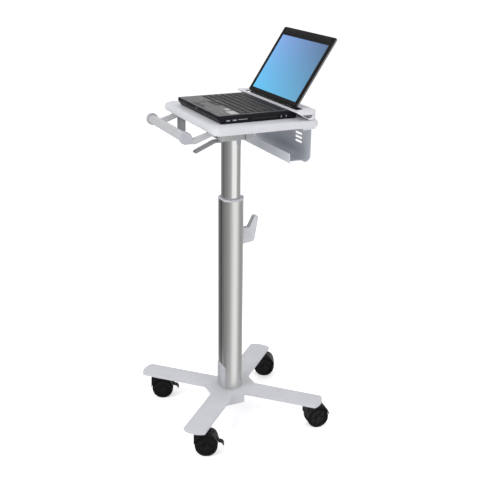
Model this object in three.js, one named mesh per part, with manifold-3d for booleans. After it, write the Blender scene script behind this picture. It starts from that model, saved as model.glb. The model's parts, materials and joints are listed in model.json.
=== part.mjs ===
// A height-adjustable ward cart: a four-legged caster base, a telescopic column on a lockable gas
// spring, and a worktop that carries a laptop under a security bracket.
// Millimetres, +Z up, +X to the user's right, the user standing at -Y. Every piece is drawn about the
// column axis at floor level; the whole cart is then moved so that the origin is the middle of its
// footprint.
import * as THREE from "three";
import { mergeVertices } from "three/addons/utils/BufferGeometryUtils.js";
import Module from "manifold-3d";

const wasm = await Module();
wasm.setup();

const GAP = 0.3; // between neighbouring pieces
const DEG = Math.PI / 180;

// Casters.
const WHEEL_RADIUS = 37.5;
const WHEEL_INNER_FACE = 5;
const WHEEL_OUTER_FACE = 25;
const CASTER_TRAIL = 27; // from the swivel axis to the axle
const CASTER_REACH = 291; // from the column axis to each swivel axis
const AXLE_RADIUS = 4;
const STEM_RADIUS = 5.5;
const STEM_BOTTOM = 68;
const HOOD_WIDTH = 56;
const HOOD = { rear: -13, rearHeight: 46, nose: 66.5, skirt: 28, round: 7 };
const HOOD_TOP = 87;
const HOOD_CAVITY_RADIUS = 39;
const HOOD_WEB = 8;
const PEDAL_WIDTH = 18;
const PEDAL_PIVOT = { forward: 42, height: 81, radius: 4.5 };
const PEDAL_INNER_RADIUS = 40.8; // about the axle
const PEDAL_OUTER_RADIUS = 44;
const PEDAL_SLOT_RADIUS = 38;
const PEDAL_TIP = { forward: 85, height: 34, thickness: 3.5 };
const WHEEL_RIM = { radius: 24, depth: 3 };
const WHEEL_HUB_RADIUS = 9;

// Base casting.
const LEG_TOP = 104;
const LEG_THICKNESS = 12;
const LEG_HALF_WIDTH = 38;
const LEG_END = 334; // middle of the curved end
const LEG_CORNER = 322; // where the sides meet the curved end
const HUB_HALF_X = 75;
const HUB_HALF_Y = 84;
// The deep box under the hub. Its front corners are cut square, its rear ones at a slant.
const SKIRT = { halfX: 75, front: -50, rear: 31, frontCut: 6, slant: { x: 36, y: 10 }, wall: 7, bottom: 65 };
const SKIRT_FLOOR = 88; // underside of the hub inside the skirt
const BOLT_X = 22; // the two column bolts sit either side of the gas spring
const BOLT_RADIUS = 4;
const BOLT_HEAD_RADIUS = 7;
const LEG_UNDERSIDE = LEG_TOP - LEG_THICKNESS;

// Column: round tubes with a flat front.
const OUTER = { radius: 42, flat: 34.5, wall: 3, frontWall: 5.2 };
const INNER = { radius: 32, flat: 28.5, wall: 3 };
const OUTER_TOP = 788;
const COLLAR_HEIGHT = 6;
const GROOVE_WIDTH = 8;
const GROOVE_DEPTH = 2.8;
const GROOVE_STRIP_THICKNESS = 1.2;
const INNER_BOTTOM = 460;
const INNER_TOP = 1006;
const GLIDE_LENGTH = 44;
const HOOK = { bottom: 628, rootTop: 682.5, top: 720, throat: 63, elbow: 83.5, tip: 96, halfWidth: 11 };
const COLUMN_SEGMENTS = 26;
const FOOT_COVER = { height: 90, halfWidth: 29.5, shoulder: 14 };
const PLUG_HEIGHT = 24;
const SPRING_RADIUS = 14;
const SPRING_TOP = 670;
const ROD_RADIUS = 5;
const ROD_BOTTOM = 310;
const PLUNGER_RADIUS = 3;

// Column head and release lever.
const HEAD = { halfWidth: 40, front: -50, rear: 44, bottom: 991, web: 1007.5, webTop: 1016 };
const HEAD_WING = { halfWidth: 62, rear: 105, thickness: 5 };
const LEVER_PIVOT = { y: -40, z: 1010, radius: 2.5 };
const PADDLE = { rear: -34, knee: -60, tip: -131, drop: 28, thickness: 6, halfWidth: 14 };
const FINGER = { front: -46, neck: -34, rear: 5, thickness: 6, halfWidth: 7 };

// Worktop and what hangs under it.
const WORKTOP = { left: -234, right: 222, front: -149, rear: 197, top: 1077, thickness: 24, edge: 8 };
const WORKTOP_CORNER = { left: 38, right: 20 };
const UNDERSIDE = WORKTOP.top - WORKTOP.thickness;
const HANDLE = { y: -213, z: 1041, radius: 14.5, wall: 2, halfLength: 143, capRadius: 18, capReach: 156 };
const HANDLE_ARM = { x: 145.5, thickness: 12, eyeRadius: 19, footFront: -140, footRear: -123 };
const TRAY = { halfLength: 192, front: 110, rear: 185, bottom: 940, sheet: 2, bend: 20, lip: 973 };
const TRAY_FLANGE = { halfLength: 206, front: 148, rear: 191, depth: 7 };
const TRAY_SLOT = { inner: 92, outer: 134, height: 6.5, lowest: 986, pitch: 13, rows: 3 };
const HOLDER = { left: -166, right: -96, front: -120, rear: -90, bottom: 980, lip: 9, sheet: 2 };

// Laptop and the bracket that locks it down.
const LAPTOP = { left: -163, right: 171, front: -119, rear: 142, height: 25, corner: 7 };
const LAPTOP_UNDERCUT = { front: 11, side: 4, lip: 8 }; // the base narrows below its upper edge
const LAPTOP_TOP = WORKTOP.top + GAP + LAPTOP.height;
const LAPTOP_MIDDLE = (LAPTOP.left + LAPTOP.right) / 2;
const LID = { length: 246.5, thickness: 7, lean: 33.6 * DEG, hingeY: 137.5, hingeZ: LAPTOP_TOP + 2.5 };
const DISPLAY = { width: 307, bottom: 19, top: 218.5 };
const LID_FRONT = -3; // front face of the lid from the hinge axis
const HINGE_RADIUS = 4.6;
const HINGE_REACH = 135; // from the laptop's middle to the outer end of each lid barrel
const LID_BARREL_LENGTH = 24;
const KEYBOARD = { left: -150, right: 155, front: -39, rear: 108, rows: 6 };
const TOUCHPAD = { left: -60, right: 14, front: -92, rear: -55 };
const BRACKET = { halfWidth: 217, front: 118, rear: 192, top: 1105, sheet: 3, plate: 2.4, corner: 24 };
const LID_SLOT = { halfWidth: 186, front: 131.5, rear: 160 };

// Paint and material looks.
const finish = (color, roughness, metalness) => ({ color, roughness, metalness });
const WHITE_PAINT = finish(0xd6d8dd, 0.5, 0.1);
const GREY_PAINT = finish(0x8b9198, 0.45, 0.5);
const ALUMINIUM = finish(0xb9bab8, 0.35, 0.9);
const STEEL = finish(0xa8a9ab, 0.3, 1.0);
const BLACK_PLASTIC = finish(0x17181a, 0.55, 0.0);
const DARK_PLASTIC = finish(0x2a2b2e, 0.5, 0.1);
const PALE_PLASTIC = finish(0xcfd0d4, 0.6, 0.0);
const SCREEN = finish(0x6fa8e8, 0.2, 0.0);

const cart = new THREE.Group();

function add(name, geometry, look, parent = cart) {
  const mesh = new THREE.Mesh(geometry, new THREE.MeshStandardMaterial(look));
  mesh.name = name;
  parent.add(mesh);
  return mesh;
}

// Booleans.

function solidOf(geometry) {
  const plain = geometry.clone();
  plain.deleteAttribute("normal");
  plain.deleteAttribute("uv");
  const welded = mergeVertices(plain, 1e-3);
  return new wasm.Manifold(
    new wasm.Mesh({
      numProp: 3,
      vertProperties: new Float32Array(welded.attributes.position.array),
      triVerts: new Uint32Array(welded.index.array),
    }),
  );
}

function geometryOf(solid) {
  const mesh = solid.getMesh();
  const geometry = new THREE.BufferGeometry();
  geometry.setAttribute("position", new THREE.BufferAttribute(mesh.vertProperties, 3));
  geometry.setIndex(new THREE.BufferAttribute(mesh.triVerts, 1));
  return geometry;
}

function join(...geometries) {
  return geometryOf(geometries.map(solidOf).reduce((whole, piece) => whole.add(piece)));
}

function cut(geometry, ...cutters) {
  const rest = cutters.reduce((whole, cutter) => whole.subtract(solidOf(cutter)), solidOf(geometry));
  return geometryOf(rest);
}

function common(a, b) {
  return geometryOf(solidOf(a).intersect(solidOf(b)));
}

// Basic solids.

function box(x0, x1, y0, y1, z0, z1) {
  const geometry = new THREE.BoxGeometry(x1 - x0, y1 - y0, z1 - z0);
  return geometry.translate((x0 + x1) / 2, (y0 + y1) / 2, (z0 + z1) / 2);
}

// A flat outline raised from z0 to z1, with both edges rounded by `edge`.
function slab(shape, z0, z1, edge = 0, curveSegments = 6) {
  const geometry = new THREE.ExtrudeGeometry(shape, {
    depth: z1 - z0 - 2 * edge,
    curveSegments,
    bevelEnabled: edge > 0,
    bevelThickness: edge,
    bevelSize: edge,
    bevelOffset: -edge,
    bevelSegments: 2,
  });
  return geometry.translate(0, 0, z0 + edge);
}

// An outline drawn in (y, z), extruded along X from x0 to x1.
function sideSlab(shape, x0, x1, curveSegments = 8) {
  const geometry = new THREE.ExtrudeGeometry(shape, { depth: x1 - x0, curveSegments, bevelEnabled: false });
  const axes = new THREE.Matrix4().makeBasis(
    new THREE.Vector3(0, 1, 0),
    new THREE.Vector3(0, 0, 1),
    new THREE.Vector3(1, 0, 0),
  );
  return geometry.applyMatrix4(axes).translate(x0, 0, 0);
}

// A radius profile turned about Z; points are [radius, z].
function turned(points, segments = 20) {
  const profile = points.map(([radius, z]) => new THREE.Vector2(radius, z));
  const geometry = new THREE.LatheGeometry(profile, segments);
  return geometry.rotateX(90 * DEG);
}

function rod(radius, z0, z1, segments = 20) {
  return turned([[0, z0], [radius, z0], [radius, z1], [0, z1]], segments);
}

function alongX(geometry, y, z) {
  return geometry.rotateY(90 * DEG).translate(0, y, z);
}

function alongY(geometry, x, z) {
  return geometry.rotateX(-90 * DEG).translate(x, 0, z);
}

// Outlines.

function polygon(...points) {
  return new THREE.Shape(points.map(([x, y]) => new THREE.Vector2(x, y)));
}

function roundedRect(x0, x1, y0, y1, frontRadius, rearRadius = frontRadius) {
  const shape = new THREE.Shape();
  shape.moveTo(x0 + frontRadius, y0);
  shape.lineTo(x1 - frontRadius, y0);
  shape.absarc(x1 - frontRadius, y0 + frontRadius, frontRadius, -90 * DEG, 0, false);
  shape.lineTo(x1, y1 - rearRadius);
  shape.absarc(x1 - rearRadius, y1 - rearRadius, rearRadius, 0, 90 * DEG, false);
  shape.lineTo(x0 + rearRadius, y1);
  shape.absarc(x0 + rearRadius, y1 - rearRadius, rearRadius, 90 * DEG, 180 * DEG, false);
  shape.lineTo(x0, y0 + frontRadius);
  shape.absarc(x0 + frontRadius, y0 + frontRadius, frontRadius, 180 * DEG, 270 * DEG, false);
  return shape;
}

// A circle with its front cut off flat at y = -flat.
function flatFrontCircle(radius, flat) {
  const corner = Math.asin(flat / radius);
  const shape = new THREE.Shape();
  shape.absarc(0, 0, radius, -corner, 180 * DEG + corner, false);
  shape.closePath();
  return shape;
}

function flatFrontPrism(radius, flat, z0, z1) {
  return slab(flatFrontCircle(radius, flat), z0, z1, 0, COLUMN_SEGMENTS);
}

function flatFrontTube(outer, inner, z0, z1) {
  return cut(
    flatFrontPrism(outer.radius, outer.flat, z0, z1),
    flatFrontPrism(inner.radius, inner.flat, z0 - 1, z1 + 1),
  );
}

// Base casting.

// Turns (u along the leg, v across it) into plan coordinates.
function legPoint(u, v, angle) {
  return [u * Math.cos(angle) - v * Math.sin(angle), u * Math.sin(angle) + v * Math.cos(angle)];
}

function crossOutline() {
  const bulge = LEG_END - LEG_CORNER;
  const endRadius = (LEG_HALF_WIDTH ** 2 + bulge ** 2) / (2 * bulge);
  const endHalfAngle = Math.asin(LEG_HALF_WIDTH / endRadius);
  const sideLine = LEG_HALF_WIDTH * Math.SQRT2; // a leg side is where |x| and |y| differ by this
  const shape = new THREE.Shape();
  for (let leg = 0; leg < 4; leg++) {
    const angle = (45 + 90 * leg) * DEG;
    const [x, y] = legPoint(1, 0, angle).map(Math.sign);
    const rootNearX = [x * HUB_HALF_X, y * (HUB_HALF_X - sideLine)];
    const rootNearY = [x * (HUB_HALF_Y - sideLine), y * HUB_HALF_Y];
    const [first, last] = leg % 2 === 0 ? [rootNearX, rootNearY] : [rootNearY, rootNearX];
    if (leg === 0) shape.moveTo(...first);
    else shape.lineTo(...first);
    shape.lineTo(...legPoint(LEG_CORNER, -LEG_HALF_WIDTH, angle));
    shape.absarc(
      ...legPoint(LEG_END - endRadius, 0, angle),
      endRadius,
      angle - endHalfAngle,
      angle + endHalfAngle,
      false,
    );
    shape.lineTo(...last);
  }
  return shape;
}

function skirtOutline(inset = 0) {
  const { frontCut, slant } = SKIRT;
  const x = SKIRT.halfX - inset;
  const front = SKIRT.front + inset;
  const rear = SKIRT.rear - inset;
  return polygon(
    [x - frontCut, front], [x, front + frontCut], [x, rear - slant.y], [x - slant.x, rear],
    [slant.x - x, rear], [-x, rear - slant.y], [-x, front + frontCut], [frontCut - x, front],
  );
}

function baseCasting() {
  const cross = slab(crossOutline(), LEG_UNDERSIDE, LEG_TOP, 3);
  const skirt = slab(skirtOutline(), SKIRT.bottom, LEG_TOP - 3.5);
  const skirtPocket = slab(skirtOutline(SKIRT.wall), SKIRT.bottom - 1, SKIRT_FLOOR);
  const legPockets = [];
  const stemHoles = [];
  for (let leg = 0; leg < 4; leg++) {
    const angle = (45 + 90 * leg) * DEG;
    const pocket = box(112, 258, -29, 29, LEG_UNDERSIDE - 1, LEG_UNDERSIDE + 6);
    legPockets.push(pocket.rotateZ(angle));
    const [x, y] = legPoint(CASTER_REACH, 0, angle);
    stemHoles.push(rod(STEM_RADIUS + GAP, LEG_UNDERSIDE - 1, LEG_TOP - 3).translate(x, y, 0));
  }
  const boltHoles = [-BOLT_X, BOLT_X].map((x) =>
    rod(BOLT_RADIUS + GAP, SKIRT.bottom, LEG_TOP + 1).translate(x, 0, 0),
  );
  return cut(join(cross, skirt), skirtPocket, ...legPockets, ...stemHoles, ...boltHoles);
}

// Column.

function outerColumn() {
  const cavity = { radius: OUTER.radius - OUTER.wall, flat: OUTER.flat - OUTER.frontWall };
  const tube = flatFrontTube(OUTER, cavity, LEG_TOP + GAP, OUTER_TOP);
  const groove = box(
    -GROOVE_WIDTH / 2, GROOVE_WIDTH / 2,
    -OUTER.flat - 1, -OUTER.flat + GROOVE_DEPTH,
    LEG_TOP, OUTER_TOP + 1,
  );
  return cut(tube, groove);
}

// A dark strip that lines the groove above the foot cover.
function grooveStrip() {
  const half = GROOVE_WIDTH / 2 - GAP;
  const back = -OUTER.flat + GROOVE_DEPTH - GAP;
  const bottom = LEG_TOP + FOOT_COVER.height - 10;
  return box(-half, half, back - GROOVE_STRIP_THICKNESS, back, bottom, OUTER_TOP);
}

function columnPlug() {
  const bottom = LEG_TOP + GAP;
  const body = flatFrontPrism(
    OUTER.radius - OUTER.wall - GAP, OUTER.flat - OUTER.frontWall - GAP,
    bottom, bottom + PLUG_HEIGHT,
  );
  const seat = rod(SPRING_RADIUS + GAP, bottom + 8, bottom + PLUG_HEIGHT + 1);
  const boltHoles = [-BOLT_X, BOLT_X].map((x) =>
    rod(BOLT_RADIUS + GAP, bottom - 1, bottom + 17).translate(x, 0, 0),
  );
  return cut(body, seat, ...boltHoles);
}

function columnBolt(x) {
  const head = SKIRT_FLOOR - GAP;
  const profile = [
    [0, head - 6], [BOLT_HEAD_RADIUS, head - 6], [BOLT_HEAD_RADIUS, head],
    [BOLT_RADIUS, head], [BOLT_RADIUS, LEG_TOP + 15], [0, LEG_TOP + 15],
  ];
  return turned(profile, 16).translate(x, 0, 0);
}

function columnCollar() {
  const rim = { radius: OUTER.radius + 0.8, flat: OUTER.flat + 0.8 };
  const opening = { radius: INNER.radius + 0.6, flat: INNER.flat + 0.4 };
  const bottom = OUTER_TOP + GAP;
  const prism = flatFrontPrism(rim.radius, rim.flat, bottom, bottom + COLLAR_HEIGHT);
  return cut(prism, flatFrontPrism(opening.radius, opening.flat, bottom - 1, bottom + COLLAR_HEIGHT + 1));
}

function upperGlide() {
  const outside = { radius: OUTER.radius - OUTER.wall - GAP, flat: OUTER.flat - OUTER.frontWall - 0.2 };
  const inside = { radius: INNER.radius + 0.6, flat: INNER.flat + 0.3 };
  return flatFrontTube(outside, inside, OUTER_TOP - GLIDE_LENGTH, OUTER_TOP);
}

function lowerGlide() {
  const outside = { radius: OUTER.radius - OUTER.wall - 0.5, flat: OUTER.flat - OUTER.frontWall - 0.25 };
  const inside = { radius: INNER.radius + GAP, flat: INNER.flat + 0.25 };
  return flatFrontTube(outside, inside, INNER_BOTTOM, INNER_BOTTOM + GLIDE_LENGTH);
}

function innerColumn() {
  const cavity = { radius: INNER.radius - INNER.wall, flat: INNER.flat - INNER.wall };
  return flatFrontTube(INNER, cavity, INNER_BOTTOM, INNER_TOP);
}

function footCover() {
  const { height, halfWidth, shoulder } = FOOT_COVER;
  const inside = { radius: OUTER.radius + GAP, flat: OUTER.flat + GAP };
  const outside = { radius: OUTER.radius + 2.8, flat: OUTER.flat + 3.2 };
  const ring = flatFrontTube(outside, inside, LEG_TOP + GAP, LEG_TOP + height + 5);
  const arch = new THREE.Shape();
  arch.moveTo(-halfWidth, LEG_TOP);
  arch.lineTo(halfWidth, LEG_TOP);
  arch.lineTo(halfWidth, LEG_TOP + height - shoulder);
  arch.absarc(halfWidth - shoulder, LEG_TOP + height - shoulder, shoulder, 0, 90 * DEG, false);
  arch.lineTo(shoulder - halfWidth, LEG_TOP + height);
  arch.absarc(shoulder - halfWidth, LEG_TOP + height - shoulder, shoulder, 90 * DEG, 180 * DEG, false);
  const window = slab(arch, 0, OUTER.radius + 10).rotateX(90 * DEG);
  const panel = box(-9, 9, -outside.flat - 1, -outside.flat + 1.4, LEG_TOP + 8, LEG_TOP + height - 12);
  return cut(common(ring, window), panel);
}

function cordHook() {
  const { bottom, rootTop, top, throat, elbow, tip, halfWidth } = HOOK;
  const root = OUTER.radius + GAP;
  const inside = root - 2; // the root is drawn into the column, then cut to its wall
  const profile = new THREE.Shape();
  profile.moveTo(inside, bottom);
  profile.lineTo(elbow - 9.5, bottom + 4);
  profile.quadraticCurveTo(elbow - 1.5, bottom + 5, elbow, bottom + 14);
  profile.lineTo(tip, top - 6);
  profile.quadraticCurveTo(tip, top, tip - 6, top);
  profile.lineTo(tip - 14, top - 1);
  profile.lineTo(throat + 3, rootTop + 4.5);
  profile.quadraticCurveTo(throat, rootTop, throat - 6, rootTop);
  profile.lineTo(inside, rootTop);
  return cut(
    sideSlab(profile, -halfWidth, halfWidth),
    flatFrontPrism(root, OUTER.flat, bottom - 1, rootTop + 5.5),
  );
}

// Gas spring.

function gasSpringCylinder() {
  const bottom = LEG_TOP + GAP + 8 + GAP;
  const bore = ROD_RADIUS + 1;
  return turned([
    [0, bottom], [SPRING_RADIUS, bottom], [SPRING_RADIUS, SPRING_TOP], [bore, SPRING_TOP],
    [bore, bottom + 6], [0, bottom + 6],
  ]);
}

function gasSpringRod() {
  const pinBore = PLUNGER_RADIUS + 0.4;
  return turned([
    [0, ROD_BOTTOM], [ROD_RADIUS, ROD_BOTTOM], [ROD_RADIUS, HEAD.webTop], [pinBore, HEAD.webTop],
    [pinBore, HEAD.webTop - 16], [0, HEAD.webTop - 16],
  ], 20);
}

function releasePlunger() {
  return rod(PLUNGER_RADIUS, HEAD.webTop - 6, HEAD.webTop + 7.7, 16);
}

// Column head.

function headBracket() {
  const underside = UNDERSIDE - GAP;
  const blockOutline = roundedRect(-HEAD.halfWidth, HEAD.halfWidth, HEAD.front, HEAD.rear, 10, 24);
  const block = slab(blockOutline, HEAD.bottom, underside - 1);
  const { halfWidth: wingHalf, rear: wingRear, thickness: wingThickness } = HEAD_WING;
  const wingOutline = roundedRect(-wingHalf, wingHalf, HEAD.front - 8, wingRear, 12);
  const wing = slab(wingOutline, underside - wingThickness, underside);
  const ribProfile = polygon(
    [HEAD.rear - 10, HEAD.bottom], [HEAD.rear + 8, HEAD.bottom + 2],
    [wingRear - 6, underside - 2], [HEAD.rear - 10, underside - 2],
  );
  const ribs = [-HEAD.halfWidth, HEAD.halfWidth - 6].map((x) => sideSlab(ribProfile, x, x + 6));
  const socket = flatFrontPrism(INNER.radius + GAP, INNER.flat + GAP, HEAD.bottom - 1, HEAD.web - 1);
  const rodHole = rod(ROD_RADIUS + GAP, HEAD.web - 2, HEAD.webTop + 1);
  const slotHalf = FINGER.halfWidth + 0.7;
  const past = HEAD.front - 1;
  const leverSlot = box(-slotHalf, slotHalf, past, -INNER.flat - 0.1, HEAD.bottom - 1, HEAD.webTop + 1);
  const fingerRoom = box(-slotHalf, slotHalf, past, 12, HEAD.webTop, underside - 9);
  const pivotHole = alongX(rod(LEVER_PIVOT.radius + GAP, -24, 24, 16), LEVER_PIVOT.y, LEVER_PIVOT.z);
  return cut(join(block, wing, ...ribs), socket, rodHole, leverSlot, fingerRoom, pivotHole);
}

// A paddle under the worktop, cranked up through the head to a finger over the release plunger.
function releaseLever() {
  const { rear, knee, tip, drop, thickness, halfWidth } = PADDLE;
  const root = HEAD.bottom - 3;
  const paddleProfile = new THREE.Shape();
  paddleProfile.moveTo(rear, root - thickness);
  paddleProfile.lineTo(rear, root);
  paddleProfile.lineTo(knee, root);
  paddleProfile.lineTo(tip + 6, root - drop);
  paddleProfile.quadraticCurveTo(tip + 1, root - drop - 3, tip + 4, root - drop - thickness);
  paddleProfile.lineTo(knee - 1, root - thickness);
  const paddleOutline = roundedRect(-halfWidth, halfWidth, tip, rear + 4, 11, 2);
  const paddle = common(
    sideSlab(paddleProfile, -halfWidth, halfWidth),
    slab(paddleOutline, root - drop - 2 * thickness, root + 5),
  );
  const fingerBottom = HEAD.webTop + 8;
  const fingerTop = fingerBottom + FINGER.thickness;
  const heel = FINGER.neck + 3.5;
  const fingerProfile = polygon(
    [FINGER.front, root - 3], [FINGER.neck, root - 3], [heel, root + 3], [heel, fingerBottom],
    [FINGER.rear, fingerBottom], [FINGER.rear, fingerTop], [FINGER.front + 8, fingerTop],
    [FINGER.front, fingerTop - 10],
  );
  const finger = sideSlab(fingerProfile, -FINGER.halfWidth, FINGER.halfWidth);
  const pivotHole = alongX(rod(LEVER_PIVOT.radius + GAP, -20, 20, 16), LEVER_PIVOT.y, LEVER_PIVOT.z);
  return cut(join(paddle, finger), pivotHole);
}

function leverPivotPin() {
  return alongX(rod(LEVER_PIVOT.radius, -22, 22, 16), LEVER_PIVOT.y, LEVER_PIVOT.z);
}

// Worktop, handle, tray and holder.

function worktop() {
  const { left, right, front, rear, top, edge } = WORKTOP;
  const corners = WORKTOP_CORNER;
  const outline = new THREE.Shape();
  outline.absarc(right - corners.right, front + corners.right, corners.right, -90 * DEG, 0, false);
  outline.absarc(right - corners.right, rear - corners.right, corners.right, 0, 90 * DEG, false);
  outline.absarc(left + corners.left, rear - corners.left, corners.left, 90 * DEG, 180 * DEG, false);
  outline.absarc(left + corners.left, front + corners.left, corners.left, 180 * DEG, 270 * DEG, false);
  outline.closePath();
  return slab(outline, UNDERSIDE, top, edge);
}

function handleTube() {
  const { radius, wall, halfLength } = HANDLE;
  const bore = radius - wall;
  const wallSection = [
    [bore, -halfLength], [radius, -halfLength], [radius, halfLength], [bore, halfLength], [bore, -halfLength],
  ];
  return alongX(turned(wallSection), HANDLE.y, HANDLE.z);
}

// An end plug: a spigot in the bore of the tube and a rounded disc outside the arm's eye.
function handleCap(side) {
  const spigotRadius = HANDLE.radius - HANDLE.wall - GAP;
  const spigotStart = HANDLE.halfLength - 14;
  const shoulder = HANDLE_ARM.x + HANDLE_ARM.thickness / 2 + GAP;
  const end = HANDLE.capReach;
  const profile = [
    [0, spigotStart], [spigotRadius, spigotStart], [spigotRadius, shoulder], [HANDLE.capRadius, shoulder],
    [HANDLE.capRadius, end - 2], [HANDLE.capRadius - 2.5, end], [0, end],
  ];
  return alongX(turned(profile), 0, 0).rotateZ(side < 0 ? 180 * DEG : 0).translate(0, HANDLE.y, HANDLE.z);
}

// An arm: an eye round the end of the handle tube, and a bar rising to a foot under the worktop.
function handleArm(side) {
  const { x, thickness, eyeRadius, footFront, footRear } = HANDLE_ARM;
  const x0 = side * x - thickness / 2;
  const underside = UNDERSIDE - GAP;
  const eye = alongX(rod(eyeRadius, x0, x0 + thickness, 24), HANDLE.y, HANDLE.z);
  const barProfile = polygon(
    [HANDLE.y + 6, HANDLE.z - eyeRadius + 1], [HANDLE.y + 30, HANDLE.z - 20], [footRear, underside - 10],
    [footRear, underside], [footFront, underside], [HANDLE.y + 16, HANDLE.z - 5],
  );
  const bar = sideSlab(barProfile, x0, x0 + thickness);
  const bore = alongX(rod(HANDLE.radius + GAP, x0 - 1, x0 + thickness + 1), HANDLE.y, HANDLE.z);
  return cut(join(eye, bar), bore);
}

// The tray's section, drawn in (y, z): a boxed flange under the worktop, a back, a large bend and a lip.
function traySection() {
  const { front, rear, bottom, sheet, bend, lip } = TRAY;
  const top = UNDERSIDE - GAP;
  const flangeBottom = top - TRAY_FLANGE.depth;
  const lipBend = 6;
  const shape = new THREE.Shape();
  shape.moveTo(TRAY_FLANGE.front, flangeBottom);
  shape.lineTo(rear - sheet, flangeBottom);
  shape.lineTo(rear - sheet, bottom + bend);
  shape.absarc(rear - bend, bottom + bend, bend - sheet, 0, -90 * DEG, true);
  shape.lineTo(front + lipBend, bottom + sheet);
  shape.absarc(front + lipBend, bottom + lipBend, lipBend - sheet, -90 * DEG, -180 * DEG, true);
  shape.lineTo(front + sheet, lip);
  shape.lineTo(front, lip);
  shape.lineTo(front, bottom + lipBend);
  shape.absarc(front + lipBend, bottom + lipBend, lipBend, 180 * DEG, 270 * DEG, false);
  shape.lineTo(rear - bend, bottom);
  shape.absarc(rear - bend, bottom + bend, bend, -90 * DEG, 0, false);
  shape.lineTo(rear, flangeBottom);
  shape.lineTo(TRAY_FLANGE.rear, flangeBottom);
  shape.lineTo(TRAY_FLANGE.rear, top);
  shape.lineTo(TRAY_FLANGE.front, top);
  return shape;
}

function powerTray() {
  const { front, rear, bottom, halfLength, sheet, bend } = TRAY;
  const body = sideSlab(traySection(), -TRAY_FLANGE.halfLength, TRAY_FLANGE.halfLength, 6);
  const cutters = [];
  for (const side of [-1, 1]) {
    const end = side * halfLength;
    const past = side * (TRAY_FLANGE.halfLength + 1);
    const [low, high] = [Math.min(end, past), Math.max(end, past)];
    cutters.push(box(low, high, front - 1, rear + 1, bottom - 1, UNDERSIDE - GAP - TRAY_FLANGE.depth));
    const notchStart = side * (halfLength - 24);
    const [notchLow, notchHigh] = [Math.min(notchStart, past), Math.max(notchStart, past)];
    cutters.push(box(notchLow, notchHigh, front + 8, rear - bend, bottom - 1, bottom + sheet + 1));
    const slotMiddle = (side * (TRAY_SLOT.inner + TRAY_SLOT.outer)) / 2;
    const slotHalf = (TRAY_SLOT.outer - TRAY_SLOT.inner) / 2;
    for (let row = 0; row < TRAY_SLOT.rows; row++) {
      const z = TRAY_SLOT.lowest + TRAY_SLOT.pitch * row;
      const slot = box(-slotHalf, slotHalf, rear - sheet - 1, rear + 1, z, z + TRAY_SLOT.height);
      cutters.push(slot.translate(slotMiddle, 0, 0));
    }
  }
  return cut(body, ...cutters);
}

function accessoryHolder() {
  const { left, right, front, rear, bottom, lip, sheet } = HOLDER;
  const top = UNDERSIDE - GAP;
  const section = polygon(
    [front, bottom], [front + lip, bottom], [front + lip, bottom + sheet], [front + sheet, bottom + sheet],
    [front + sheet, top - sheet], [rear, top - sheet], [rear, top], [front, top],
  );
  return sideSlab(section, left, right);
}

// Laptop.

function laptopBase() {
  const outline = roundedRect(LAPTOP.left, LAPTOP.right, LAPTOP.front, LAPTOP.rear, LAPTOP.corner);
  const body = slab(outline, WORKTOP.top + GAP, LAPTOP_TOP, 2, 4);
  const keyWell = well(KEYBOARD, 3);
  const padWell = well(TOUCHPAD, 2);
  const reach = HINGE_REACH + 12;
  const room = HINGE_RADIUS + 0.5;
  const hingeNotch = box(
    LAPTOP_MIDDLE - reach, LAPTOP_MIDDLE + reach,
    LID.hingeY - room, LAPTOP.rear + 1,
    LID.hingeZ - room, LAPTOP_TOP + 1,
  );
  return cut(body, keyWell, padWell, hingeNotch, ...laptopUndercuts());
}

// Wedges that slope the lower part of the laptop's front and sides inwards.
function laptopUndercuts() {
  const { front, side, lip } = LAPTOP_UNDERCUT;
  const [low, high] = [WORKTOP.top, LAPTOP_TOP - lip];
  const frontWedge = polygon(
    [LAPTOP.front - 1, high], [LAPTOP.front, high], [LAPTOP.front + front, low], [LAPTOP.front - 1, low],
  );
  const sideWedges = [[LAPTOP.left, 1], [LAPTOP.right, -1]].map(([edge, inward]) => {
    const wedge = polygon(
      [edge - inward, high], [edge, high], [edge + inward * side, low], [edge - inward, low],
    );
    return upright(slab(wedge, -LAPTOP.rear - 1, -LAPTOP.front + 1));
  });
  return [sideSlab(frontWedge, LAPTOP.left - 1, LAPTOP.right + 1), ...sideWedges];
}

// The hollow in the top of the laptop base that takes a keyboard or touchpad, with a gap all round.
function well({ left, right, front, rear }, depth) {
  return box(left - GAP, right + GAP, front - GAP, rear + GAP, LAPTOP_TOP - depth, LAPTOP_TOP + 1);
}

function laptopKeyboard() {
  const { left, right, front, rear, rows } = KEYBOARD;
  const plate = box(left, right, front, rear, LAPTOP_TOP - 2.7, LAPTOP_TOP - 1.2);
  const pitch = (rear - front) / rows;
  const strips = [];
  for (let row = 0; row < rows; row++) {
    const y = front + row * pitch;
    strips.push(box(left + 2, right - 2, y + 2, y + pitch - 1, LAPTOP_TOP - 1.5, LAPTOP_TOP + 0.4));
  }
  return join(plate, ...strips);
}

function laptopTouchpad() {
  const { left, right, front, rear } = TOUCHPAD;
  return box(left, right, front, rear, LAPTOP_TOP - 1.7, LAPTOP_TOP - 0.3);
}

// The lid is drawn upright on the hinge axis, front face towards -Y, then leaned back.
function leanedBack(geometry) {
  return geometry.rotateX(-LID.lean).translate(LAPTOP_MIDDLE, LID.hingeY, LID.hingeZ);
}

function upright(geometry) {
  return geometry.rotateX(90 * DEG);
}

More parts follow.
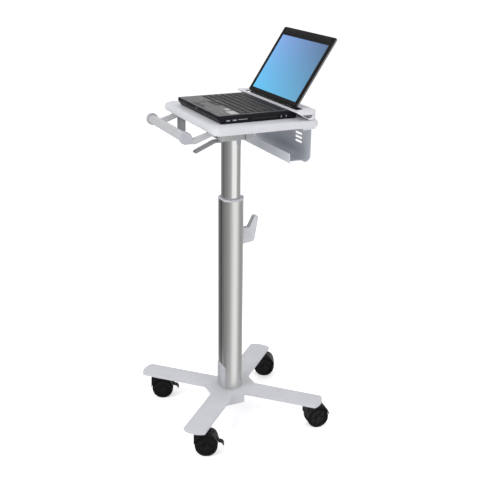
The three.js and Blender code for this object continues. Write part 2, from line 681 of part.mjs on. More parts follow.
function laptopLid() {
  const half = (LAPTOP.right - LAPTOP.left) / 2;
  const outline = roundedRect(-half, half, HINGE_RADIUS + 0.6, LID.length, 3, LAPTOP.corner);
  const shell = upright(slab(outline, -LID.thickness - LID_FRONT, -LID_FRONT, 1.5, 4));
  const recess = box(
    -DISPLAY.width / 2 - GAP, DISPLAY.width / 2 + GAP,
    LID_FRONT - 1, LID_FRONT + 2,
    DISPLAY.bottom - GAP, DISPLAY.top + GAP,
  );
  const halfBarrel = LID_BARREL_LENGTH / 2;
  const hinges = [-1, 1].map((side) => {
    const ear = box(-halfBarrel, halfBarrel, -2, 4, 0, 8);
    const barrel = alongX(rod(HINGE_RADIUS, -halfBarrel, halfBarrel, 16), 0, 0);
    return join(ear, barrel).translate(side * (HINGE_REACH - halfBarrel), 0, 0);
  });
  return leanedBack(cut(join(shell, ...hinges), recess));
}

function laptopDisplay() {
  const half = DISPLAY.width / 2;
  return leanedBack(box(-half, half, LID_FRONT + 0.6, LID_FRONT + 1.7, DISPLAY.bottom, DISPLAY.top));
}

function hingeKnuckle(side) {
  const length = 11;
  const middle = LAPTOP_MIDDLE + side * (HINGE_REACH + 0.5 + length / 2);
  return alongX(rod(HINGE_RADIUS, middle - length / 2, middle + length / 2, 16), LID.hingeY, LID.hingeZ);
}

// Security bracket: a plate with a slot for the lid, its front strip lying over the laptop base and
// its side and rear walls standing on the worktop.
function securityBracket() {
  const { halfWidth, front, rear, top, sheet, plate, corner } = BRACKET;
  const bottom = WORKTOP.top + GAP;
  const body = slab(roundedRect(-halfWidth, halfWidth, front, rear, 10, corner), bottom, top, 0, 7);
  const inside = slab(
    roundedRect(-halfWidth + sheet, halfWidth - sheet, front - 30, rear - sheet, 10, corner - sheet),
    bottom - 1, top - plate, 0, 7,
  );
  const slot = slab(
    roundedRect(-LID_SLOT.halfWidth, LID_SLOT.halfWidth, LID_SLOT.front, LID_SLOT.rear, 4),
    top - plate - 1, top + 1, 0, 3,
  );
  const frontSlope = acrossSides(
    [front - 1, bottom - 1], [front + 48, bottom - 1], [front - 1, top - plate + 0.5],
  );
  const sideOpening = acrossSides(
    [front + 20, top - 11], [front + 37, bottom + 6.5], [rear - 25, bottom + 6.5], [rear - 18, top - 11],
  );
  return cut(body, inside, slot, frontSlope, sideOpening);
}

function acrossSides(...points) {
  return sideSlab(polygon(...points), -BRACKET.halfWidth - 1, BRACKET.halfWidth + 1);
}

// Casters. Each is drawn with its swivel axis on Z and its axle ahead of it along +X.

// The hood's side outline swept across its width, then trimmed to a domed front outline.
function hoodSolid() {
  const { rear, rearHeight, nose, skirt, round } = HOOD;
  const dome = { reach: nose - CASTER_TRAIL, rise: HOOD_TOP - WHEEL_RADIUS, end: 11 * DEG };
  const side = new THREE.Shape();
  side.moveTo(rear, rearHeight);
  side.lineTo(rear, HOOD_TOP - round);
  side.quadraticCurveTo(rear, HOOD_TOP, rear + round, HOOD_TOP);
  side.lineTo(CASTER_TRAIL, HOOD_TOP);
  side.absellipse(CASTER_TRAIL, WHEEL_RADIUS, dome.reach, dome.rise, 90 * DEG, dome.end, true);
  side.lineTo(CASTER_TRAIL + 11, skirt);
  side.lineTo(CASTER_TRAIL - 11, skirt);
  const half = HOOD_WIDTH / 2;
  const front = new THREE.Shape();
  front.moveTo(-half, 0);
  front.lineTo(half, 0);
  front.lineTo(half, 58);
  front.quadraticCurveTo(half, 72, half - 5, 79);
  front.quadraticCurveTo(half - 10, HOOD_TOP, 10, HOOD_TOP + 1);
  front.lineTo(-10, HOOD_TOP + 1);
  front.quadraticCurveTo(10 - half, HOOD_TOP, 5 - half, 79);
  front.quadraticCurveTo(-half, 72, -half, 58);
  return common(acrossCaster(side, HOOD_WIDTH), sideSlab(front, -20, 80, 5));
}

// An outline drawn in the caster's (forward, up) plane, swept across the caster.
function acrossCaster(shape, width, curveSegments = 6) {
  const geometry = new THREE.ExtrudeGeometry(shape, { depth: width, curveSegments, bevelEnabled: false });
  return geometry.translate(0, 0, -width / 2).rotateX(90 * DEG);
}

function casterHood(braked) {
  const axle = (radius, y0, y1, segments) =>
    alongY(rod(radius, y0, y1, segments), CASTER_TRAIL, WHEEL_RADIUS);
  const cutters = [
    axle(HOOD_CAVITY_RADIUS, HOOD_WEB / 2, HOOD_WIDTH, 28),
    axle(HOOD_CAVITY_RADIUS, -HOOD_WIDTH, -HOOD_WEB / 2, 28),
    axle(AXLE_RADIUS + GAP, -HOOD_WIDTH, HOOD_WIDTH, 16),
    rod(STEM_RADIUS + GAP, STEM_BOTTOM - 2, HOOD_TOP + 1, 16),
  ];
  if (braked) {
    const half = PEDAL_WIDTH / 2 + GAP;
    const slot = box(34, 90, -half, half, 40, 120);
    cutters.push(cut(slot, axle(PEDAL_SLOT_RADIUS, -HOOD_WIDTH, HOOD_WIDTH, 28)));
  }
  return cut(hoodSolid(), ...cutters);
}

function casterStem() {
  const collarRadius = 14;
  const [collarBottom, collarTop, top] = [HOOD_TOP + 0.6, LEG_UNDERSIDE - GAP, LEG_TOP - 4];
  return turned([
    [0, STEM_BOTTOM], [STEM_RADIUS, STEM_BOTTOM], [STEM_RADIUS, collarBottom], [collarRadius, collarBottom],
    [collarRadius, collarTop], [STEM_RADIUS, collarTop], [STEM_RADIUS, top], [0, top],
  ], 16);
}

function casterAxle() {
  const end = WHEEL_OUTER_FACE + 0.5;
  const pin = turned([
    [0, -end - 2], [6, -end - 2], [6, -end], [AXLE_RADIUS, -end], [AXLE_RADIUS, end], [6, end],
    [6, end + 2], [0, end + 2],
  ], 12);
  return alongY(pin, CASTER_TRAIL, WHEEL_RADIUS);
}

function casterWheel(side) {
  const bore = AXLE_RADIUS + GAP;
  const [inner, outer] = [WHEEL_INNER_FACE, WHEEL_OUTER_FACE];
  const wheel = turned([
    [bore, inner], [WHEEL_RADIUS - 3, inner], [WHEEL_RADIUS, inner + 4], [WHEEL_RADIUS, outer - 5],
    [WHEEL_RADIUS - 4, outer], [WHEEL_RIM.radius + 2, outer], [WHEEL_RIM.radius, outer - WHEEL_RIM.depth],
    [WHEEL_HUB_RADIUS + 1, outer - WHEEL_RIM.depth], [WHEEL_HUB_RADIUS, outer], [bore, outer],
    [bore, inner],
  ], 28);
  if (side < 0) wheel.rotateX(180 * DEG);
  return alongY(wheel, CASTER_TRAIL, WHEEL_RADIUS);
}

// An arm that follows the hood's dome down to a neck, where it bends out into a curled tip.
function brakePedal() {
  const [innerLow, outerLow, high] = [10 * DEG, 14 * DEG, 70 * DEG];
  const { forward: tip, height: tipHeight, thickness } = PEDAL_TIP;
  const neckTop = WHEEL_RADIUS + PEDAL_OUTER_RADIUS * Math.sin(outerLow);
  const innerEnd = CASTER_TRAIL + PEDAL_INNER_RADIUS * Math.cos(innerLow);
  const neckBottom = WHEEL_RADIUS + PEDAL_INNER_RADIUS * Math.sin(innerLow);
  const arm = new THREE.Shape();
  arm.absarc(CASTER_TRAIL, WHEEL_RADIUS, PEDAL_OUTER_RADIUS, high, outerLow, true);
  arm.quadraticCurveTo(tip - 1, neckTop, tip, tipHeight);
  arm.lineTo(tip - thickness, tipHeight - 1);
  arm.quadraticCurveTo(tip - thickness - 1, neckBottom, innerEnd, neckBottom);
  arm.absarc(CASTER_TRAIL, WHEEL_RADIUS, PEDAL_INNER_RADIUS, innerLow, high, false);
  const { forward, height, radius } = PEDAL_PIVOT;
  const barrel = alongY(rod(radius, -PEDAL_WIDTH / 2, PEDAL_WIDTH / 2, 16), forward, height);
  return join(acrossCaster(arm, PEDAL_WIDTH, 8), barrel);
}

// Heading of each caster: where its axle lies from its swivel axis, measured from +X towards +Y.
const CASTERS = [
  { name: "front_left", corner: 225, heading: 65, braked: true },
  { name: "front_right", corner: 315, heading: 65, braked: true },
  { name: "rear_right", corner: 45, heading: 82, braked: false },
  { name: "rear_left", corner: 135, heading: 65, braked: false },
];

function addCaster({ name, corner, heading, braked }) {
  const caster = new THREE.Group();
  const [x, y] = legPoint(CASTER_REACH, 0, corner * DEG);
  caster.position.set(x, y, 0);
  caster.rotation.z = heading * DEG;
  cart.add(caster);
  add(`caster_stem_${name}`, casterStem(), STEEL, caster);
  add(`caster_hood_${name}`, casterHood(braked), BLACK_PLASTIC, caster);
  add(`caster_axle_${name}`, casterAxle(), STEEL, caster);
  add(`caster_wheel_${name}_left`, casterWheel(1), BLACK_PLASTIC, caster);
  add(`caster_wheel_${name}_right`, casterWheel(-1), BLACK_PLASTIC, caster);
  if (braked) add(`brake_pedal_${name}`, brakePedal(), BLACK_PLASTIC, caster);
}

add("base_casting", baseCasting(), WHITE_PAINT);
add("outer_column", outerColumn(), ALUMINIUM);
add("groove_strip", grooveStrip(), BLACK_PLASTIC);
add("column_plug", columnPlug(), STEEL);
add("column_bolt_left", columnBolt(-BOLT_X), STEEL);
add("column_bolt_right", columnBolt(BOLT_X), STEEL);
add("column_collar", columnCollar(), PALE_PLASTIC);
add("upper_glide", upperGlide(), PALE_PLASTIC);
add("lower_glide", lowerGlide(), PALE_PLASTIC);
add("inner_column", innerColumn(), ALUMINIUM);
add("foot_cover", footCover(), PALE_PLASTIC);
add("cord_hook", cordHook(), PALE_PLASTIC);
add("gas_spring_cylinder", gasSpringCylinder(), BLACK_PLASTIC);
add("gas_spring_rod", gasSpringRod(), STEEL);
add("release_plunger", releasePlunger(), STEEL);
add("head_bracket", headBracket(), GREY_PAINT);
add("release_lever", releaseLever(), GREY_PAINT);
add("lever_pivot_pin", leverPivotPin(), STEEL);
add("worktop", worktop(), WHITE_PAINT);
add("handle_tube", handleTube(), WHITE_PAINT);
add("handle_cap_left", handleCap(-1), PALE_PLASTIC);
add("handle_cap_right", handleCap(1), PALE_PLASTIC);
add("handle_arm_left", handleArm(-1), WHITE_PAINT);
add("handle_arm_right", handleArm(1), WHITE_PAINT);
add("power_tray", powerTray(), GREY_PAINT);
add("accessory_holder", accessoryHolder(), GREY_PAINT);
add("security_bracket", securityBracket(), WHITE_PAINT);
add("laptop_base", laptopBase(), DARK_PLASTIC);
add("laptop_keyboard", laptopKeyboard(), BLACK_PLASTIC);
add("laptop_touchpad", laptopTouchpad(), DARK_PLASTIC);
add("laptop_lid", laptopLid(), DARK_PLASTIC);
add("laptop_display", laptopDisplay(), SCREEN);
add("laptop_hinge_left", hingeKnuckle(-1), BLACK_PLASTIC);
add("laptop_hinge_right", hingeKnuckle(1), BLACK_PLASTIC);
CASTERS.forEach(addCaster);

const footprint = new THREE.Box3().setFromObject(cart, true).getCenter(new THREE.Vector3());
cart.position.set(-footprint.x, -footprint.y, 0);

export default cart;
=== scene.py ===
import json
import math

import bmesh
import bpy
from mathutils import Matrix, Vector


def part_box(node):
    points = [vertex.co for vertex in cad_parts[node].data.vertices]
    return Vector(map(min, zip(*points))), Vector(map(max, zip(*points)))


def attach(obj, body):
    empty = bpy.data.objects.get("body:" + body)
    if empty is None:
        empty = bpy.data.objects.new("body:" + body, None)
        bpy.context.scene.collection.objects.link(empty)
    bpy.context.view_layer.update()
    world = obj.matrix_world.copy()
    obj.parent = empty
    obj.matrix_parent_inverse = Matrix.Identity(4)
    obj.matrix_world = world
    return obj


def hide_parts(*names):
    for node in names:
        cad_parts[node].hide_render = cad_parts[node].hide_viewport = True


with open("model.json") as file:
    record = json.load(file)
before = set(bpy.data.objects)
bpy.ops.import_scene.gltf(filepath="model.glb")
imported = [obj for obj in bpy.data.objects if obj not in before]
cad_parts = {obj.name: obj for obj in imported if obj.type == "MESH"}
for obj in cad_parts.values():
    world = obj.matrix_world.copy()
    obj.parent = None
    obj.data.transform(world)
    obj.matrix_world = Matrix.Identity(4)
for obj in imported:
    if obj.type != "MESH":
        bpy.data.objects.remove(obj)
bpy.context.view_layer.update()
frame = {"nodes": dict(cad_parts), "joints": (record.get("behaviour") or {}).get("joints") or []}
nodes = frame["nodes"]
joints = {joint["name"]: joint for joint in frame["joints"]}

# The lid, measured from its hinge along its front face, and how far it leans back at rest.
LID_LEAN = math.radians(33.6)
SCREEN_BOTTOM = 0.019
SCREEN_TOP = 0.2185
LID_TOP = 0.2465
BEZEL_BOTTOM = 0.0060
BEZEL_TOP = LID_TOP - 0.0014
BEZEL_FRONT = 0.0032  # in front of the hinge axis

# Keys of each row from the front to the back, as widths in key units.
KEY_ROWS = (
    (1, 1, 1, 1.25, 5.5, 1, 1, 1, 1, 1, 1.25),
    (2, 1, 1, 1, 1, 1, 1, 1, 1, 1, 1, 2, 1, 1),
    (1.75, 1, 1, 1, 1, 1, 1, 1, 1, 1, 1, 1, 2.25, 1),
    (1.5, 1, 1, 1, 1, 1, 1, 1, 1, 1, 1, 1, 1, 1.5, 1),
    (1, 1, 1, 1, 1, 1, 1, 1, 1, 1, 1, 1, 1, 2, 1),
    (1, 1, 1, 1, 1, 1, 1, 1, 1, 1, 1, 1, 1, 1, 1, 1),
)
CONTROL_STRIP_DEPTH = 0.017  # the strip behind the keys

DECK_SKIN = 0.0003  # how far the palm rest stands above the laptop's base
SIDE_SLOPE = 0.0016  # how far the laptop's side has sloped in at the height of its sockets

# Sockets on the laptop's right side: distance behind its front edge, width and height.
PORTS = (
    (0.033, 0.012, 0.0085),
    (0.054, 0.013, 0.0085),
    (0.081, 0.030, 0.0050),
    (0.209, 0.0032, 0.0130),
    (0.226, 0.0032, 0.0130),
)
PORT_DEPTH = 0.004
PORT_PROUD = 0.0007

# Turns a prism on its side: its (x, y) outline and its height become (y, z) and x.
SIDEWAYS = Matrix(((0, 0, 1, 0), (1, 0, 0, 0), (0, 1, 0, 0), (0, 0, 0, 1)))

# Pale patches on the palm rest, a painted highlight where light glints off it: distance of the middle
# from the right and front edges, width and depth.
GLARE_PATCHES = ((0.036, 0.061, 0.046, 0.026), (0.085, 0.066, 0.026, 0.016))

# X of the screws through the back of the tray and of the security bracket.
TRAY_SCREWS = (-0.19, -0.065, 0.06, 0.185)
BRACKET_SCREWS = (-0.15, -0.002, 0.146)

CASTERS = ("front_left", "front_right", "rear_right", "rear_left")
SIDES = ("left", "right")


# Materials. Every one is a node tree that works in object space, where one unit is a metre.


class Shader:
    """A material's node tree with short helpers for the nodes that every finish here shares."""

    def __init__(self, name):
        self.material = bpy.data.materials.new(name)
        self.material.use_nodes = True
        self.tree = self.material.node_tree
        self.surface = self.tree.nodes["Principled BSDF"]
        coordinates = self.tree.nodes.new("ShaderNodeTexCoord")
        self.place = coordinates.outputs["Object"]

    def node(self, kind, **inputs):
        """A new node whose inputs are set to values or linked to sockets, by name."""
        made = self.tree.nodes.new(kind)
        for key, value in inputs.items():
            socket = made.inputs[key.replace("_", " ")]
            if isinstance(value, bpy.types.NodeSocket):
                self.tree.links.new(value, socket)
            else:
                socket.default_value = value
        return made

    def link(self, output, socket):
        """Feeds one of the surface's own inputs."""
        self.tree.links.new(output, self.surface.inputs[socket])

    def noise(self, scale, detail=2.0, stretch=(1, 1, 1)):
        """Noise from 0 to 1 with features 1/scale metres across, drawn out along an axis by stretch."""
        mapping = self.node("ShaderNodeMapping", Vector=self.place, Scale=stretch)
        texture = self.node(
            "ShaderNodeTexNoise", Vector=mapping.outputs[0], Scale=scale, Detail=detail
        )
        return texture.outputs["Fac"]

    def spread(self, value, low, high, source=(0.3, 0.7)):
        """Maps value from the source range to low..high."""
        mapped = self.tree.nodes.new("ShaderNodeMapRange")
        self.tree.links.new(value, mapped.inputs["Value"])
        mapped.inputs["From Min"].default_value = source[0]
        mapped.inputs["From Max"].default_value = source[1]
        mapped.inputs["To Min"].default_value = low
        mapped.inputs["To Max"].default_value = high
        return mapped.outputs["Result"]

    def mix(self, factor, first, second):
        """The first colour where factor is 0, the second where it is 1."""
        made = self.tree.nodes.new("ShaderNodeMix")
        made.data_type = "RGBA"
        sockets = (made.inputs[0], made.inputs[6], made.inputs[7])
        for socket, value in zip(sockets, (factor, first, second)):
            if isinstance(value, bpy.types.NodeSocket):
                self.tree.links.new(value, socket)
            elif isinstance(value, tuple):
                socket.default_value = (*value, 1.0)
            else:
                socket.default_value = value
        return made.outputs[2]

    def edges(self, radius):
        """1 on the sharp edges of the mesh, 0 on its faces."""
        rounded = self.tree.nodes.new("ShaderNodeBevel")
        rounded.samples = 4
        rounded.inputs["Radius"].default_value = radius
        geometry = self.tree.nodes.new("ShaderNodeNewGeometry")
        likeness = self.tree.nodes.new("ShaderNodeVectorMath")
        likeness.operation = "DOT_PRODUCT"
        self.tree.links.new(rounded.outputs[0], likeness.inputs[0])
        self.tree.links.new(geometry.outputs["Normal"], likeness.inputs[1])
        return self.spread(likeness.outputs["Value"], 1.0, 0.0, source=(0.86, 0.985))

    def product(self, first, second):
        """Two values multiplied."""
        made = self.node("ShaderNodeMath", Value=first)
        made.operation = "MULTIPLY"
        self.tree.links.new(second, made.inputs[1])
        return made.outputs[0]

    def bump(self, height, distance, strength=0.5):
        """Relief on the surface; height from 0 to 1 stands for distance in metres."""
        made = self.node("ShaderNodeBump", Height=height, Distance=distance, Strength=strength)
        self.link(made.outputs[0], "Normal")

    def plain(self, metallic=0.0, specular=0.5):
        """The settings that are the same all over the surface."""
        self.surface.inputs["Metallic"].default_value = metallic
        self.surface.inputs["Specular IOR Level"].default_value = specular


def tinted(color, factor):
    """A brighter or darker version of a colour."""
    return tuple(min(1.0, channel * factor) for channel in color)


def powder_coat(name, color, roughness=0.42, worn=1.12, metallic=0.0):
    """Baked paint: a fine orange-peel skin, faint cloudiness, and edges rubbed a little lighter."""
    shader = Shader(name)
    shader.plain(metallic=metallic, specular=0.4)
    clouds = shader.spread(shader.noise(14, 3), 0.0, 1.0)
    coat = shader.mix(clouds, tinted(color, 0.965), tinted(color, 1.02))
    rubbed = shader.spread(shader.noise(90, 4), 0.15, 0.75)
    wear = shader.product(shader.edges(0.0012), rubbed)
    shader.link(shader.mix(wear, coat, tinted(color, worn)), "Base Color")
    shader.link(shader.spread(shader.noise(35, 3), roughness - 0.05, roughness + 0.07), "Roughness")
    shader.bump(shader.noise(1300, 2), 0.00025, 0.35)
    return shader.material


def extruded_aluminium(name, color, roughness, streak):
    """Anodised extrusion: die lines that run the length of the profile, with a satin sheen."""
    shader = Shader(name)
    shader.plain(metallic=1.0)
    lines = shader.noise(900, 3, (1, 1, 0.004))
    broad = shader.noise(160, 2, (1, 1, 0.01))
    tone = shader.mix(
        shader.spread(broad, 0.0, 1.0), tinted(color, 1 - streak), tinted(color, 1 + streak)
    )
    wear = shader.edges(0.0008)
    shader.link(shader.mix(wear, tone, tinted(color, 1.25)), "Base Color")
    shader.link(shader.spread(lines, roughness - 0.04, roughness + 0.06), "Roughness")
    shader.bump(lines, 0.00012, 0.3)
    return shader.material


def moulded_plastic(name, color, roughness, grain=900, depth=0.0003, lighter=1.3, specular=0.5):
    """Moulded plastic: spark-eroded grain, faint flow marks and edges polished by handling."""
    shader = Shader(name)
    shader.plain(specular=specular)
    flow = shader.spread(shader.noise(22, 3), 0.0, 1.0)
    skin = shader.mix(flow, tinted(color, 0.93), tinted(color, 1.05))
    shader.link(shader.mix(shader.edges(0.0009), skin, tinted(color, lighter)), "Base Color")
    shader.link(shader.spread(shader.noise(60, 3), roughness - 0.06, roughness + 0.08), "Roughness")
    shader.bump(shader.noise(grain, 3), depth, 0.5)
    return shader.material


def tyre_rubber(name):
    """Dull rubber with dust in its scuffs."""
    shader = Shader(name)
    shader.plain(specular=0.16)
    scuffs = shader.spread(shader.noise(120, 6), 0.0, 1.0, source=(0.5, 0.8))
    shader.link(shader.mix(scuffs, (0.005, 0.005, 0.0055), (0.009, 0.0088, 0.0086)), "Base Color")
    shader.link(shader.spread(shader.noise(45, 3), 0.6, 0.82), "Roughness")
    shader.bump(shader.noise(700, 4), 0.0005, 0.6)
    return shader.material


def bright_steel(name, color=(0.52, 0.53, 0.54), roughness=0.28):
    """Turned or plated steel with fine scratches."""
    shader = Shader(name)
    shader.plain(metallic=1.0)
    scratches = shader.noise(500, 5, (1, 6, 1))
    tone = shader.mix(shader.spread(scratches, 0.0, 1.0), tinted(color, 0.85), tinted(color, 1.1))
    shader.link(tone, "Base Color")
    shader.link(shader.spread(scratches, roughness - 0.08, roughness + 0.12), "Roughness")
    shader.bump(scratches, 0.0001, 0.3)
    return shader.material


def lid_axes(shader, to_lid):
    """A point's X, Y and Z in the lid's own frame: the hinge is the origin and Z runs up the lid."""
    flat = shader.node("ShaderNodeMapping", Vector=shader.place)
    inverse = to_lid.inverted()
    flat.inputs["Rotation"].default_value = inverse.to_euler()
    flat.inputs["Location"].default_value = inverse.to_translation()
    return shader.node("ShaderNodeSeparateXYZ", Vector=flat.outputs[0]).outputs


def lid_cover(name, to_lid):
    """Silver-grey painted lid whose front and lowest part are the black of the bezel."""
    shader = Shader(name)
    shader.plain(metallic=0.35, specular=0.4)
    axes = lid_axes(shader, to_lid)
    clouds = shader.spread(shader.noise(30, 3), 0.0, 1.0)
    silver = shader.mix(clouds, (0.13, 0.13, 0.14), (0.16, 0.16, 0.17))
    silver = shader.mix(shader.edges(0.0008), silver, (0.24, 0.24, 0.25))
    front = shader.spread(axes["Y"], 1.0, 0.0, source=(-0.0020, -0.0014))
    foot = shader.spread(axes["Z"], 1.0, 0.0, source=(0.0085, 0.0095))
    black = (0.010, 0.009, 0.009)
    shader.link(shader.mix(front, shader.mix(foot, silver, black), black), "Base Color")
    shader.link(shader.spread(shader.noise(35, 3), 0.30, 0.42), "Roughness")
    shader.bump(shader.noise(1300, 2), 0.0002, 0.3)
    return shader.material


def lit_screen(name, to_lid):
    """A lit display: sky blue low on the left, lilac high on the left, slate blue on the right."""
    shader = Shader(name)
    shader.plain(specular=0.35)
    low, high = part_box("laptop_display")
    axes = lid_axes(shader, to_lid)
    half = (high.x - low.x) / 2
    across = shader.spread(axes["X"], 0.0, 1.0, source=(-half, half))
    up = shader.spread(axes["Z"], 0.0, 1.0, source=(SCREEN_BOTTOM, SCREEN_TOP))
    bottom_row = shader.mix(across, (0.12, 0.56, 0.93), (0.13, 0.38, 0.60))
    top_row = shader.mix(across, (0.22, 0.39, 0.78), (0.105, 0.17, 0.31))
    shader.link(shader.mix(up, bottom_row, top_row), "Emission Color")
    pixels = shader.spread(shader.noise(2600, 1), 0.97, 1.03)
    seen = shader.node("ShaderNodeLightPath").outputs["Is Camera Ray"]
    glow = shader.spread(seen, 0.15, 1.0, source=(0, 1))  # it lights the keys only faintly
    shader.link(shader.product(pixels, glow), "Emission Strength")
    shader.surface.inputs["Base Color"].default_value = (0.01, 0.012, 0.016, 1)
    shader.link(shader.spread(shader.noise(40, 2), 0.30, 0.36), "Roughness")
    shader.bump(shader.noise(2600, 1), 0.00005, 0.1)
    return shader.material


# Mesh helpers.


def new_piece(name, mesh, material, body, place=None):
    """A named object that rides on a body. mesh is a bmesh or a finished mesh; place is its matrix."""
    if isinstance(mesh, bmesh.types.BMesh):
        data = bpy.data.meshes.new(name)
        mesh.normal_update()
        mesh.to_mesh(data)
        mesh.free()
        mesh = data
    piece = bpy.data.objects.new(name, mesh)
    bpy.context.scene.collection.objects.link(piece)
    if not mesh.materials:
        mesh.materials.append(material)
    if place is not None:
        piece.matrix_world = place
    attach(piece, body)
    return piece


def smooth_by_angle(piece, degrees=32, weld=0.00002):
    """A geometry-nodes modifier that welds the mesh and shades it smooth except across sharp edges."""
    name = f"weld_and_smooth_{degrees}_{round(weld * 1e6)}"
    group = bpy.data.node_groups.get(name) or smoothing_group(name, degrees, weld)
    modifier = piece.modifiers.new("smooth", "NODES")
    modifier.node_group = group


def smoothing_group(name, degrees, weld):
    """The node group behind smooth_by_angle."""
    group = bpy.data.node_groups.new(name, "GeometryNodeTree")
    group.interface.new_socket("Geometry", in_out="INPUT", socket_type="NodeSocketGeometry")
    group.interface.new_socket("Geometry", in_out="OUTPUT", socket_type="NodeSocketGeometry")
    entry = group.nodes.new("NodeGroupInput")
    leave = group.nodes.new("NodeGroupOutput")
    merge = group.nodes.new("GeometryNodeMergeByDistance")
    merge.inputs["Distance"].default_value = weld
    faces = group.nodes.new("GeometryNodeSetShadeSmooth")
    faces.domain = "FACE"
    sharp = group.nodes.new("GeometryNodeSetShadeSmooth")
    sharp.domain = "EDGE"
    sharp.inputs["Shade Smooth"].default_value = False
    angle = group.nodes.new("GeometryNodeInputMeshEdgeAngle")
    over = group.nodes.new("FunctionNodeCompare")
    over.data_type = "FLOAT"
    over.operation = "GREATER_THAN"
    over.inputs[1].default_value = math.radians(degrees)
    link = group.links.new
    link(entry.outputs[0], merge.inputs["Geometry"])
    link(merge.outputs[0], faces.inputs["Geometry"])
    link(faces.outputs[0], sharp.inputs["Geometry"])
    link(angle.outputs[0], over.inputs[0])
    link(over.outputs[0], sharp.inputs["Selection"])
    link(sharp.outputs[0], leave.inputs[0])
    return group


def round_edges(piece, width, segments=2, degrees=35):
    """Rounds the piece's sharp edges in its geometry."""
    bevel = piece.modifiers.new("rounded_edges", "BEVEL")
    bevel.width = width
    bevel.segments = segments
    bevel.limit_method = "ANGLE"
    bevel.angle_limit = math.radians(degrees)
    bevel.harden_normals = False
    bevel.use_clamp_overlap = True


def add_block(mesh, low, high, taper=0.0, turn=None, material=0):
    """A block between two corners. Its top is smaller by taper on every side; turn is put on it."""
    corners = []
    for z, inset in ((low[2], 0.0), (high[2], taper)):
        for x, y in (
            (low[0] + inset, low[1] + inset),
            (high[0] - inset, low[1] + inset),
            (high[0] - inset, high[1] - inset),
            (low[0] + inset, high[1] - inset),
        ):
            point = Vector((x, y, z))
            corners.append(mesh.verts.new(turn @ point if turn else point))
    bottom, top = corners[:4], corners[4:]
    sides = []
    for i in range(4):
        j = (i + 1) % 4
        sides.append((bottom[i], bottom[j], top[j], top[i]))
    for loop in (bottom[::-1], top, *sides):
        mesh.faces.new(loop).material_index = material


def add_lathe(mesh, profile, segments, turn=None, material=0):
    """Turns a closed anticlockwise (radius, height) profile about Z, then puts turn on it."""
    rings = []
    for step in range(segments):
        angle = 2 * math.pi * step / segments
        ring = []
        for radius, height in profile:
            point = Vector((radius * math.cos(angle), radius * math.sin(angle), height))
            ring.append(mesh.verts.new(turn @ point if turn else point))
        rings.append(ring)
    count = len(profile)
    for step in range(segments):
        here, there = rings[step], rings[(step + 1) % segments]
        for i in range(count):
            j = (i + 1) % count
            face = mesh.faces.new((here[i], there[i], there[j], here[j]))
            face.material_index = material
            face.smooth = True


def rounded_outline(half_x, half_y, radius, steps=6):
    """Points of a rounded rectangle about the origin, anticlockwise."""
    points = []
    for corner, (sx, sy) in enumerate(((1, 1), (-1, 1), (-1, -1), (1, -1))):
        for step in range(steps + 1):
            angle = math.pi / 2 * (corner + step / steps)
            x = sx * (half_x - radius) + radius * math.cos(angle)
            y = sy * (half_y - radius) + radius * math.sin(angle)
            points.append((x, y))
    return points


def rectangle(x0, y0, x1, y1):
    """Corners of a rectangle, anticlockwise."""
    return ((x0, y0), (x1, y0), (x1, y1), (x0, y1))


def add_plate(mesh, xs, ys, openings, bottom, top):
    """A plate on the grid of lines xs and ys, open at the (column, row) cells in openings."""
    corners = {}

    def corner(spot, z):
        if (spot, z) not in corners:
            corners[spot, z] = mesh.verts.new((xs[spot[0]], ys[spot[1]], z))
        return corners[spot, z]

    columns, rows = range(len(xs) - 1), range(len(ys) - 1)
    cells = [(i, j) for i in columns for j in rows if (i, j) not in openings]
    for i, j in cells:
        loop = rectangle(i, j, i + 1, j + 1)
        mesh.faces.new([corner(spot, top) for spot in loop])
        mesh.faces.new([corner(spot, bottom) for spot in reversed(loop)])
        beyond = ((i, j - 1), (i + 1, j), (i, j + 1), (i - 1, j))
        for side, neighbour in enumerate(beyond):
            if neighbour not in cells:
                a, b = loop[side], loop[(side + 1) % 4]
                wall = (corner(a, bottom), corner(b, bottom), corner(b, top), corner(a, top))
                mesh.faces.new(wall)


def add_prism(mesh, outline, bottom, top, hole=None):
    """A prism of an (x, y) outline, with an optional hole whose outline has as many points."""
    low = [mesh.verts.new((x, y, bottom)) for x, y in outline]
    high = [mesh.verts.new((x, y, top)) for x, y in outline]
    count = len(outline)
    pairs = [(i, (i + 1) % count) for i in range(count)]
    for i, j in pairs:
        mesh.faces.new((low[i], low[j], high[j], high[i]))
    if hole is None:
        mesh.faces.new(low[::-1])
        mesh.faces.new(high)
        return
    inner_low = [mesh.verts.new((x, y, bottom)) for x, y in hole]
    inner_high = [mesh.verts.new((x, y, top)) for x, y in hole]
    for i, j in pairs:
        mesh.faces.new((inner_high[i], inner_high[j], inner_low[j], inner_low[i]))
        mesh.faces.new((high[i], high[j], inner_high[j], inner_high[i]))
        mesh.faces.new((low[j], low[i], inner_low[i], inner_low[j]))


# Finishes.

LID_HINGE = Vector(joints["laptop_lid_tilt"]["pos_m"])
LID_PLACE = Matrix.Translation(LID_HINGE) @ Matrix.Rotation(-LID_LEAN, 4, "X")

